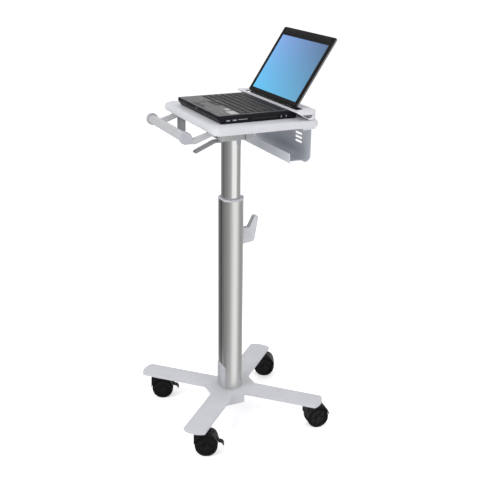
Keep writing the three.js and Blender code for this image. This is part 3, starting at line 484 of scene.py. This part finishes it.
PAINT_BASE = powder_coat("base_paint", (0.46, 0.465, 0.49))
PAINT_WORKTOP = powder_coat("worktop_skin", (0.53, 0.535, 0.56), roughness=0.4)
PAINT_BRACKET = powder_coat("bracket_paint", (0.55, 0.55, 0.59), roughness=0.36)
PAINT_HANDLE = powder_coat("handle_paint", (0.39, 0.395, 0.41), roughness=0.32)
PAINT_TRAY = powder_coat("tray_steel", (0.62, 0.645, 0.69), roughness=0.38, metallic=0.3)
PAINT_HEAD = powder_coat("head_paint", (0.34, 0.35, 0.345), roughness=0.45)
PAINT_LEVER = powder_coat("lever_paint", (0.24, 0.24, 0.255), roughness=0.42, metallic=0.3)
PAINT_HOLDER = powder_coat("holder_paint", (0.165, 0.17, 0.18), roughness=0.42)
ALUMINIUM = extruded_aluminium("column_satin", (0.72, 0.72, 0.705), 0.36, 0.03)
POLISHED = extruded_aluminium("column_polished", (0.78, 0.775, 0.77), 0.2, 0.02)
STEEL = bright_steel("plated_steel")
DARK_STEEL = bright_steel("dark_steel", (0.05, 0.05, 0.055), 0.4)
PALE_PLASTIC = moulded_plastic("pale_plastic", (0.47, 0.475, 0.50), 0.45, lighter=1.08)
COVER_PLASTIC = moulded_plastic("cover_plastic", (0.38, 0.385, 0.41), 0.45, lighter=1.3)
CAP_PLASTIC = moulded_plastic("cap_plastic", (0.36, 0.365, 0.40), 0.35, lighter=1.1)
CASTER_BLACK = moulded_plastic(
    "caster_plastic", (0.004, 0.004, 0.0045), 0.4, depth=0.0003, specular=0.22
)
LAPTOP_SHELL = moulded_plastic(
    "laptop_shell", (0.006, 0.006, 0.010), 0.42, grain=1500, specular=0.16
)
PALM_REST = moulded_plastic(
    "palm_rest", (0.045, 0.045, 0.05), 0.36, grain=1700, lighter=1.2, specular=0.45
)
KEY_PLASTIC = moulded_plastic(
    "key_plastic", (0.030, 0.030, 0.031), 0.45, grain=2000, lighter=2.2, specular=0.3
)
KEY_WELL = moulded_plastic("key_well", (0.004, 0.004, 0.005), 0.6, specular=0.15)
BEZEL = moulded_plastic(
    "bezel_plastic", (0.010, 0.009, 0.009), 0.45, grain=1500, lighter=1.6, specular=0.25
)
# Light grey for the sockets' tongues, and for the pale patches on the palm rest that paint a highlight.
GLARE_PATCH_AND_TONGUE_GREY = powder_coat("glare_patch_and_tongue_grey", (0.36, 0.37, 0.36), roughness=0.3, metallic=0.2)
PORT_METAL = bright_steel("port_metal", (0.30, 0.31, 0.34), 0.35)
RUBBER = tyre_rubber("tyre_rubber")
LID_SHELL = lid_cover("lid_shell", LID_PLACE)
SCREEN = lit_screen("lit_screen", LID_PLACE)

FINISHES = {
    "base_casting": PAINT_BASE,
    "outer_column": ALUMINIUM,
    "inner_column": POLISHED,
    "column_collar": COVER_PLASTIC,
    "foot_cover": COVER_PLASTIC,
    "groove_strip": KEY_WELL,
    "cord_hook": PALE_PLASTIC,
    "upper_glide": PALE_PLASTIC,
    "lower_glide": PALE_PLASTIC,
    "column_plug": STEEL,
    "column_bolt_left": STEEL,
    "column_bolt_right": STEEL,
    "gas_spring_cylinder": DARK_STEEL,
    "gas_spring_rod": STEEL,
    "release_plunger": STEEL,
    "lever_pivot_pin": STEEL,
    "head_bracket": PAINT_HEAD,
    "release_lever": PAINT_LEVER,
    "worktop": PAINT_WORKTOP,
    "handle_tube": PAINT_HANDLE,
    "handle_cap_left": CAP_PLASTIC,
    "handle_cap_right": CAP_PLASTIC,
    "handle_arm_left": PAINT_HANDLE,
    "handle_arm_right": PAINT_HANDLE,
    "power_tray": PAINT_TRAY,
    "accessory_holder": PAINT_HOLDER,
    "security_bracket": PAINT_BRACKET,
    "laptop_base": LAPTOP_SHELL,
    "laptop_keyboard": KEY_WELL,
    "laptop_touchpad": PALM_REST,
    "laptop_lid": LID_SHELL,
    "laptop_display": SCREEN,
    "laptop_hinge_left": DARK_STEEL,
    "laptop_hinge_right": DARK_STEEL,
}


def finish_cad_nodes():
    """Gives every CAD node its material and smooths the shading of its round faces."""
    for caster in CASTERS:
        FINISHES[f"caster_stem_{caster}"] = STEEL
        FINISHES[f"caster_hood_{caster}"] = CASTER_BLACK
        FINISHES[f"caster_axle_{caster}"] = CASTER_BLACK
        FINISHES[f"brake_pedal_{caster}"] = CASTER_BLACK
        for side in SIDES:
            FINISHES[f"caster_wheel_{caster}_{side}"] = RUBBER
    for name, node in nodes.items():
        node.data.materials.clear()
        node.data.materials.append(FINISHES[name])
        smooth_by_angle(node)


# Laptop details.


def laptop_deck():
    """The palm rest and keyboard surround: a thin skin round the keys and the touchpad."""
    low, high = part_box("laptop_base")
    keys_low, keys_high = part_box("laptop_keyboard")
    pad_low, pad_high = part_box("laptop_touchpad")
    gap = 0.0006
    rim = 0.0035
    xs = (
        low.x + rim, keys_low.x - gap, pad_low.x - gap,
        pad_high.x + gap, keys_high.x + gap, high.x - rim,
    )
    ys = (low.y + rim, pad_low.y - gap, pad_high.y + gap, keys_low.y - gap, keys_high.y + gap)
    touchpad = ((2, 1),)
    keyboard = ((1, 3), (2, 3), (3, 3))
    mesh = bmesh.new()
    add_plate(mesh, xs, ys, touchpad + keyboard, high.z - DECK_SKIN, high.z + DECK_SKIN)
    deck = new_piece("laptop_deck", mesh, PALM_REST, "lift")
    smooth_by_angle(deck)


def key_well_top():
    """Height of the dark floor that the keycaps stand on."""
    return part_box("laptop_keyboard")[1].z - 0.0019


def laptop_keycaps():
    """A separate tapered cap for every key."""
    low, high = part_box("laptop_keyboard")
    gap = 0.0034
    margin = 0.001
    cap_top = high.z + 0.0014
    depth = (high.y - low.y - CONTROL_STRIP_DEPTH) / len(KEY_ROWS)
    mesh = bmesh.new()
    for row, widths in enumerate(KEY_ROWS):
        unit = (high.x - low.x - 2 * margin) / sum(widths)
        x = low.x + margin
        y = low.y + row * depth
        for width in widths:
            near = (x + gap / 2, y + gap / 2, key_well_top())
            far = (x + width * unit - gap / 2, y + depth - gap / 2, cap_top)
            add_block(mesh, near, far, taper=0.0012)
            x += width * unit
    caps = new_piece("laptop_keycaps", mesh, KEY_PLASTIC, "lift")
    round_edges(caps, 0.0006)
    smooth_by_angle(caps, 40)


def laptop_key_well():
    """The dark floor under the keycaps."""
    low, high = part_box("laptop_keyboard")
    mesh = bmesh.new()
    add_block(mesh, low, (high.x, high.y, key_well_top()))
    well = new_piece("laptop_key_well", mesh, KEY_WELL, "lift")
    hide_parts("laptop_keyboard")
    smooth_by_angle(well)


def laptop_control_strip():
    """The strip behind the keys, with a row of small buttons on its left."""
    low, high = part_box("laptop_keyboard")
    front = high.y - CONTROL_STRIP_DEPTH + 0.001
    mesh = bmesh.new()
    add_block(mesh, (low.x, front, key_well_top()), (high.x, high.y, high.z + 0.0002), taper=0.0004)
    buttons, pitch, first = 6, 0.016, 0.028
    width, depth, rise = 0.011, 0.004, 0.0009
    y = front + 0.006
    for button in range(buttons):
        x = low.x + first + button * pitch
        add_block(mesh, (x, y, high.z), (x + width, y + depth, high.z + rise), taper=0.0004)
    strip = new_piece("laptop_control_strip", mesh, LAPTOP_SHELL, "lift")
    smooth_by_angle(strip)


def touchpad_buttons():
    """Two buttons in front of the touchpad and two behind it, each a soft-edged block."""
    low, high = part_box("laptop_touchpad")
    deck_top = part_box("laptop_base")[1].z + DECK_SKIN
    depth = 0.013
    gap = 0.0015
    half_split = 0.0006
    middle = (low.x + high.x) / 2
    bottom, top = deck_top - 0.0004, deck_top + 0.0009
    mesh = bmesh.new()
    for y in (low.y - depth - gap, high.y + gap):
        for x0, x1 in ((low.x, middle - half_split), (middle + half_split, high.x)):
            add_block(mesh, (x0, y, bottom), (x1, y + depth, top), taper=0.0007)
    piece = new_piece("touchpad_buttons", mesh, KEY_PLASTIC, "lift")
    round_edges(piece, 0.0004)
    smooth_by_angle(piece, 40)


def port_face():
    """X of the laptop's right side and Z of the middle of its sockets."""
    low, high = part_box("laptop_base")
    return high.x - SIDE_SLOPE, (low.z + high.z) / 2 - 0.0005


def laptop_ports():
    """Sockets along the right side, each a metal frame round a tongue."""
    face, middle = port_face()
    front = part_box("laptop_base")[0].y
    rim = 0.0011
    frames = bmesh.new()
    tongues = bmesh.new()
    for forward, width, height in PORTS:
        y0, y1 = front + forward - width / 2, front + forward + width / 2
        z0, z1 = middle - height / 2, middle + height / 2
        hole = rectangle(y0 + rim, z0 + rim, y1 - rim, z1 - rim)
        add_prism(frames, rectangle(y0, z0, y1, z1), face - PORT_DEPTH, face + PORT_PROUD, hole)
        near = (face - PORT_DEPTH, y0 + rim, z0 + rim)
        far = (face + PORT_PROUD / 2, y1 - rim, z1 - rim)
        add_block(tongues, near, far)
    frames.transform(SIDEWAYS)
    smooth_by_angle(new_piece("laptop_ports", frames, PORT_METAL, "lift"))
    smooth_by_angle(new_piece("laptop_port_tongues", tongues, GLARE_PATCH_AND_TONGUE_GREY, "lift"))


def laptop_disc_drive():
    """The front of a disc drive on the right side, with its small button."""
    face, middle = port_face()
    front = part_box("laptop_base")[0].y
    y0, y1 = front + 0.110, front + 0.192
    button_y0, button_y1 = y1 - 0.022, y1 - 0.012
    half_button = 0.001
    mesh = bmesh.new()
    add_block(
        mesh,
        (face - PORT_DEPTH, y0, middle - 0.005),
        (face + PORT_PROUD, y1, middle + 0.006),
    )
    add_block(
        mesh,
        (face, button_y0, middle - half_button),
        (face + 2 * PORT_PROUD, button_y1, middle + half_button),
    )
    smooth_by_angle(new_piece("laptop_disc_drive", mesh, BEZEL, "lift"))


def palm_rest_glare_patches():
    """Two thin pale plates on the right of the palm rest, shaped like blank badges: a painted highlight
    for the glare of light there.
    """
    low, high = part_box("laptop_base")
    top = high.z + DECK_SKIN
    mesh = bmesh.new()
    for inward, back, width, depth in GLARE_PATCHES:
        corners = rounded_outline(width / 2, depth / 2, 0.002, 4)
        outline = [(high.x - inward + x, low.y + back + y) for x, y in corners]
        add_prism(mesh, outline, top - 0.0002, top + 0.0005)
    smooth_by_angle(new_piece("palm_rest_glare_patches", mesh, GLARE_PATCH_AND_TONGUE_GREY, "lift"))


def laptop_front_edge():
    """A latch catch and a short row of status lights on the laptop's front edge."""
    low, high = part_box("laptop_base")
    back = low.y + 0.001
    mesh = bmesh.new()
    lights, pitch, first = 5, 0.009, 0.040
    width, height, proud = 0.0045, 0.0014, 0.0003
    z = high.z - 0.0045
    for light in range(lights):
        x = low.x + first + pitch * light
        add_block(mesh, (x, low.y - proud, z), (x + width, back, z + height))
    middle = (low.x + high.x) / 2
    half_catch, catch_proud = 0.009, 0.0008
    near = (middle - half_catch, low.y - catch_proud, high.z - 0.0065)
    far = (middle + half_catch, back, high.z - 0.0025)
    add_block(mesh, near, far)
    smooth_by_angle(new_piece("laptop_latch_and_lights", mesh, PORT_METAL, "lift"))


def hinge_bar():
    """A black bar on the hinge axis that closes the gap between the lid's two barrels."""
    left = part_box("laptop_hinge_left")
    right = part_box("laptop_hinge_right")
    barrel = 0.0255  # length of each of the lid's own barrels, with clearance
    radius = (left[1].z - left[0].z) / 2 - 0.0004
    half = (right[0].x - left[1].x) / 2 - barrel
    round_end = 0.0006
    profile = (
        (0, -half), (radius - round_end, -half), (radius, round_end - half),
        (radius, half - round_end), (radius - round_end, half), (0, half),
    )
    middle = Vector(((left[1].x + right[0].x) / 2, LID_HINGE.y, LID_HINGE.z))
    mesh = bmesh.new()
    add_lathe(mesh, profile, 32)
    turn = Matrix.Translation(middle) @ Matrix.Rotation(math.pi / 2, 4, "Y")
    piece = new_piece("laptop_hinge_bar", mesh, BEZEL, "lift", turn)
    smooth_by_angle(piece, 40)


def lid_front_turn():
    """Matrix that stands an (x, up, forward) drawing on the lid's front face."""
    return LID_PLACE @ Matrix.Rotation(math.pi / 2, 4, "X")


def lid_half_width():
    """Half the width of the frame round the display."""
    low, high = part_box("laptop_lid")
    return (high.x - low.x) / 2 - 0.0014


def lid_bezel():
    """The black frame round the display."""
    screen_low, screen_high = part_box("laptop_display")
    overlap = 0.0006  # of the frame over the edge of the display
    half_height = (BEZEL_TOP - BEZEL_BOTTOM) / 2
    middle = (BEZEL_BOTTOM + BEZEL_TOP) / 2
    outline = [(x, y + middle) for x, y in rounded_outline(lid_half_width(), half_height, 0.0055)]
    screen_half = (screen_high.x - screen_low.x) / 2 - overlap
    screen_half_height = (SCREEN_TOP - SCREEN_BOTTOM) / 2 - overlap
    screen_middle = (SCREEN_BOTTOM + SCREEN_TOP) / 2
    corners = rounded_outline(screen_half, screen_half_height, 0.0006)
    hole = [(x, y + screen_middle) for x, y in corners]
    mesh = bmesh.new()
    add_prism(mesh, outline, BEZEL_FRONT - 0.0006, BEZEL_FRONT, hole)
    mesh.transform(lid_front_turn())
    bezel = new_piece("lid_bezel", mesh, BEZEL, "lid")
    round_edges(bezel, 0.0004)
    smooth_by_angle(bezel, 40)


def lid_rubber_stops():
    """Two rubber stops near the top of the lid."""
    profile = ((0, 0), (0.0036, 0), (0.0036, 0.0010), (0.0024, 0.0017), (0, 0.0017))
    inset = 0.012
    mesh = bmesh.new()
    for x in (inset - lid_half_width(), lid_half_width() - inset):
        spot = Matrix.Translation((x, BEZEL_TOP - 0.007, BEZEL_FRONT - 0.0005))
        add_lathe(mesh, profile, 24, lid_front_turn() @ spot)
    stops = new_piece("lid_rubber_stops", mesh, RUBBER, "lid")
    smooth_by_angle(stops, 40)


# Casters.


def wheel_mesh():
    """One caster wheel about Z, its outer face up: a moulded hub with ribs inside a rubber tyre."""
    radius, inner, outer, bore = 0.03749, 0.005, 0.025, 0.0043
    tyre = (
        (0.0292, inner), (0.0355, inner), (0.0368, inner + 0.0012), (radius, inner + 0.004),
        (radius, outer - 0.006), (0.0366, outer - 0.0026), (0.0346, outer - 0.0008),
        (0.0322, outer), (0.0304, outer - 0.0003), (0.0292, outer - 0.0016),
    )
    hub = (
        (bore, inner), (0.0288, inner), (0.0288, outer - 0.0016), (0.0272, outer - 0.0004),
        (0.0252, outer - 0.0008), (0.0238, outer - 0.0034), (0.0115, outer - 0.0042),
        (0.0100, outer - 0.0010), (0.0085, outer - 0.0002), (bore, outer - 0.0002),
    )
    mesh = bmesh.new()
    add_lathe(mesh, tyre, 64)
    add_lathe(mesh, hub, 64, material=1)
    ribs = 6
    half_rib = 0.0013
    for rib in range(ribs):
        turn = Matrix.Rotation(2 * math.pi * rib / ribs, 4, "Z")
        near = (0.0105, -half_rib, outer - 0.006)
        far = (0.0248, half_rib, outer - 0.0016)
        add_block(mesh, near, far, 0.0004, turn, material=1)
    data = bpy.data.meshes.new("caster_wheel")
    mesh.normal_update()
    mesh.to_mesh(data)
    mesh.free()
    data.materials.append(RUBBER)
    data.materials.append(CASTER_BLACK)
    return data


def caster_wheels():
    """Two wheels on every caster, each on the axis of its own joint."""
    data = wheel_mesh()
    for caster in CASTERS:
        for side in SIDES:
            joint = joints[f"spin_{caster}_{side}"]
            low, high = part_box(f"caster_wheel_{caster}_{side}")
            axle = Vector(joint["pos_m"])
            outward = (low + high) / 2 - axle
            turn = outward.to_track_quat("Z", "Y").to_matrix().to_4x4()
            wheel = new_piece(
                f"wheel_{caster}_{side}",
                data,
                None,
                f"wheel_{caster}_{side}",
                Matrix.Translation(axle) @ turn,
            )
            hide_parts(f"caster_wheel_{caster}_{side}")
            smooth_by_angle(wheel, 38)


# Screws.

PAN_HEAD = (
    (0.0, 0.0008), (0.0, 0.0), (0.0044, 0.0), (0.0040, 0.0014), (0.0024, 0.0020),
    (0.0016, 0.0021), (0.0016, 0.0008),
)


def add_screw(mesh, place, direction, scale):
    """Adds a pan-head screw with a socket in it, its head standing along direction."""
    turn = Vector(direction).to_track_quat("Z", "Y").to_matrix().to_4x4()
    matrix = Matrix.Translation(place) @ turn @ Matrix.Scale(scale, 4)
    add_lathe(mesh, PAN_HEAD, 20, matrix)


def screws():
    """The screws that hold the tray, the handle arms and the security bracket to the worktop."""
    mesh = bmesh.new()
    for side in SIDES:
        low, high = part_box(f"handle_arm_{side}")
        place = ((low.x + high.x) / 2, high.y - 0.0065, high.z - 0.0095)
        add_screw(mesh, place, (0, 0.25, -1), 0.8)
    low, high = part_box("power_tray")
    for x in TRAY_SCREWS:
        add_screw(mesh, (x, high.y, high.z - 0.0035), (0, 1, 0), 0.7)
    low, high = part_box("security_bracket")
    for x in BRACKET_SCREWS:
        add_screw(mesh, (x, high.y, low.z + 0.006), (0, 1, 0), 0.75)
    piece = new_piece("worktop_screws", mesh, STEEL, "lift")
    smooth_by_angle(piece, 38)


# Studio.


def floor_mesh():
    """A round floor in rings, so that its shading stays even out to the horizon."""
    around = 48
    mesh = bmesh.new()
    rings = []
    for radius in (1.5, 6.0, 30.0):
        angles = [2 * math.pi * step / around for step in range(around)]
        rings.append([mesh.verts.new((radius * math.cos(a), radius * math.sin(a), 0)) for a in angles])
    mesh.faces.new(rings[0])
    for inner, outer in zip(rings, rings[1:]):
        for i in range(around):
            j = (i + 1) % around
            mesh.faces.new((inner[i], outer[i], outer[j], inner[j]))
    data = bpy.data.meshes.new("studio_floor")
    mesh.to_mesh(data)
    mesh.free()
    return data


def floor_paint():
    """Matt white that glows a little, which keeps the shadows pale."""
    shader = Shader("studio_floor")
    shader.plain(specular=0.1)
    white = shader.mix(shader.noise(3, 2), (0.90, 0.90, 0.905), (0.93, 0.93, 0.93))
    shader.link(white, "Base Color")
    shader.surface.inputs["Roughness"].default_value = 0.9
    shader.surface.inputs["Emission Color"].default_value = (1, 1, 1, 1)
    shader.surface.inputs["Emission Strength"].default_value = 0.30
    return shader.material


def studio():
    """A pale floor, an even white surround, and soft lamps above and beside the cart."""
    floor = bpy.data.objects.new("studio_floor", floor_mesh())
    bpy.context.scene.collection.objects.link(floor)
    floor.data.materials.append(floor_paint())
    floor.visible_glossy = False
    surround()
    lamp("key", (0.6, -2.8, 3.0), 2.2, 78)
    lamp("fill", (2.8, 0.9, 2.2), 2.4, 22)
    lamp("rim", (-0.9, 2.8, 2.6), 2.2, 30)


def lamp(name, place, size, watts):
    """A round soft lamp aimed at the middle of the column, unseen by the camera and by reflections."""
    light = bpy.data.lights.new(name, "AREA")
    light.shape = "DISK"
    light.size = size
    light.energy = watts
    holder = bpy.data.objects.new(name, light)
    bpy.context.scene.collection.objects.link(holder)
    holder.location = place
    aim = Vector((0, 0, 0.7)) - Vector(place)
    holder.rotation_euler = aim.to_track_quat("-Z", "Y").to_euler()
    holder.visible_glossy = False
    holder.visible_camera = False


# Brightness that polished metal finds round the studio, by compass angle from +X towards +Y.
STRIPS = (
    (-180, 0.30), (-150, 0.14), (-115, 0.24), (-80, 0.25), (-45, 0.36), (-18, 0.50),
    (-6, 1.05), (38, 1.10), (56, 0.45), (95, 0.35), (125, 0.75), (165, 0.90),
)


def surround():
    """An even white world, except that reflections find softboxes and dark gaps between them."""
    world = bpy.data.worlds.new("studio")
    bpy.context.scene.world = world
    world.use_nodes = True
    tree = world.node_tree
    tree.nodes.clear()
    new = tree.nodes.new
    link = tree.links.new
    geometry = new("ShaderNodeTexCoord")
    axes = new("ShaderNodeSeparateXYZ")
    link(geometry.outputs["Generated"], axes.inputs[0])
    angle = new("ShaderNodeMath")
    angle.operation = "ARCTAN2"
    link(axes.outputs["Y"], angle.inputs[0])
    link(axes.outputs["X"], angle.inputs[1])
    share = new("ShaderNodeMapRange")
    share.inputs["From Min"].default_value = -math.pi
    share.inputs["From Max"].default_value = math.pi
    link(angle.outputs[0], share.inputs["Value"])
    ramp = new("ShaderNodeValToRGB")
    ramp.color_ramp.interpolation = "EASE"
    stops = ramp.color_ramp.elements
    for index, (degrees, level) in enumerate(STRIPS):
        position = (degrees + 180) / 360
        stop = stops[index] if index < 2 else stops.new(position)
        stop.position = position
        stop.color = (level, level, level, 1)
    link(share.outputs[0], ramp.inputs[0])
    path = new("ShaderNodeLightPath")
    even = new("ShaderNodeMix")
    even.data_type = "RGBA"
    even.inputs[6].default_value = (0.79, 0.79, 0.80, 1)
    even.inputs[7].default_value = (1.05, 1.05, 1.05, 1)
    link(path.outputs["Is Camera Ray"], even.inputs[0])
    mixed = new("ShaderNodeMix")
    mixed.data_type = "RGBA"
    link(path.outputs["Is Glossy Ray"], mixed.inputs[0])
    link(even.outputs[2], mixed.inputs[6])
    link(ramp.outputs[0], mixed.inputs[7])
    background = new("ShaderNodeBackground")
    link(mixed.outputs[2], background.inputs["Color"])
    output = new("ShaderNodeOutputWorld")
    link(background.outputs[0], output.inputs[0])


def camera():
    """A long lens in front of the cart and to its right, a little above the worktop."""
    azimuth = math.radians(65.14)
    elevation = math.radians(19.91)
    roll = math.radians(0.5)
    place = Vector((2.51281, -1.14233, 1.643))
    back = Vector((
        math.sin(azimuth) * math.cos(elevation),
        -math.cos(azimuth) * math.cos(elevation),
        math.sin(elevation),
    ))
    lens = bpy.data.cameras.new("camera")
    lens.lens = 66.1
    lens.sensor_width = 36
    lens.clip_end = 60
    holder = bpy.data.objects.new("camera", lens)
    bpy.context.scene.collection.objects.link(holder)
    turn = back.to_track_quat("Z", "Y") @ Matrix.Rotation(roll, 3, "Z").to_quaternion()
    holder.matrix_world = Matrix.LocRotScale(place, turn, None)
    bpy.context.scene.camera = holder


finish_cad_nodes()
laptop_deck()
laptop_keycaps()
laptop_key_well()
laptop_control_strip()
touchpad_buttons()
laptop_ports()
laptop_disc_drive()
palm_rest_glare_patches()
laptop_front_edge()
hinge_bar()
lid_bezel()
lid_rubber_stops()
caster_wheels()
screws()
studio()
camera()
bpy.context.scene.view_settings.view_transform = "Standard"
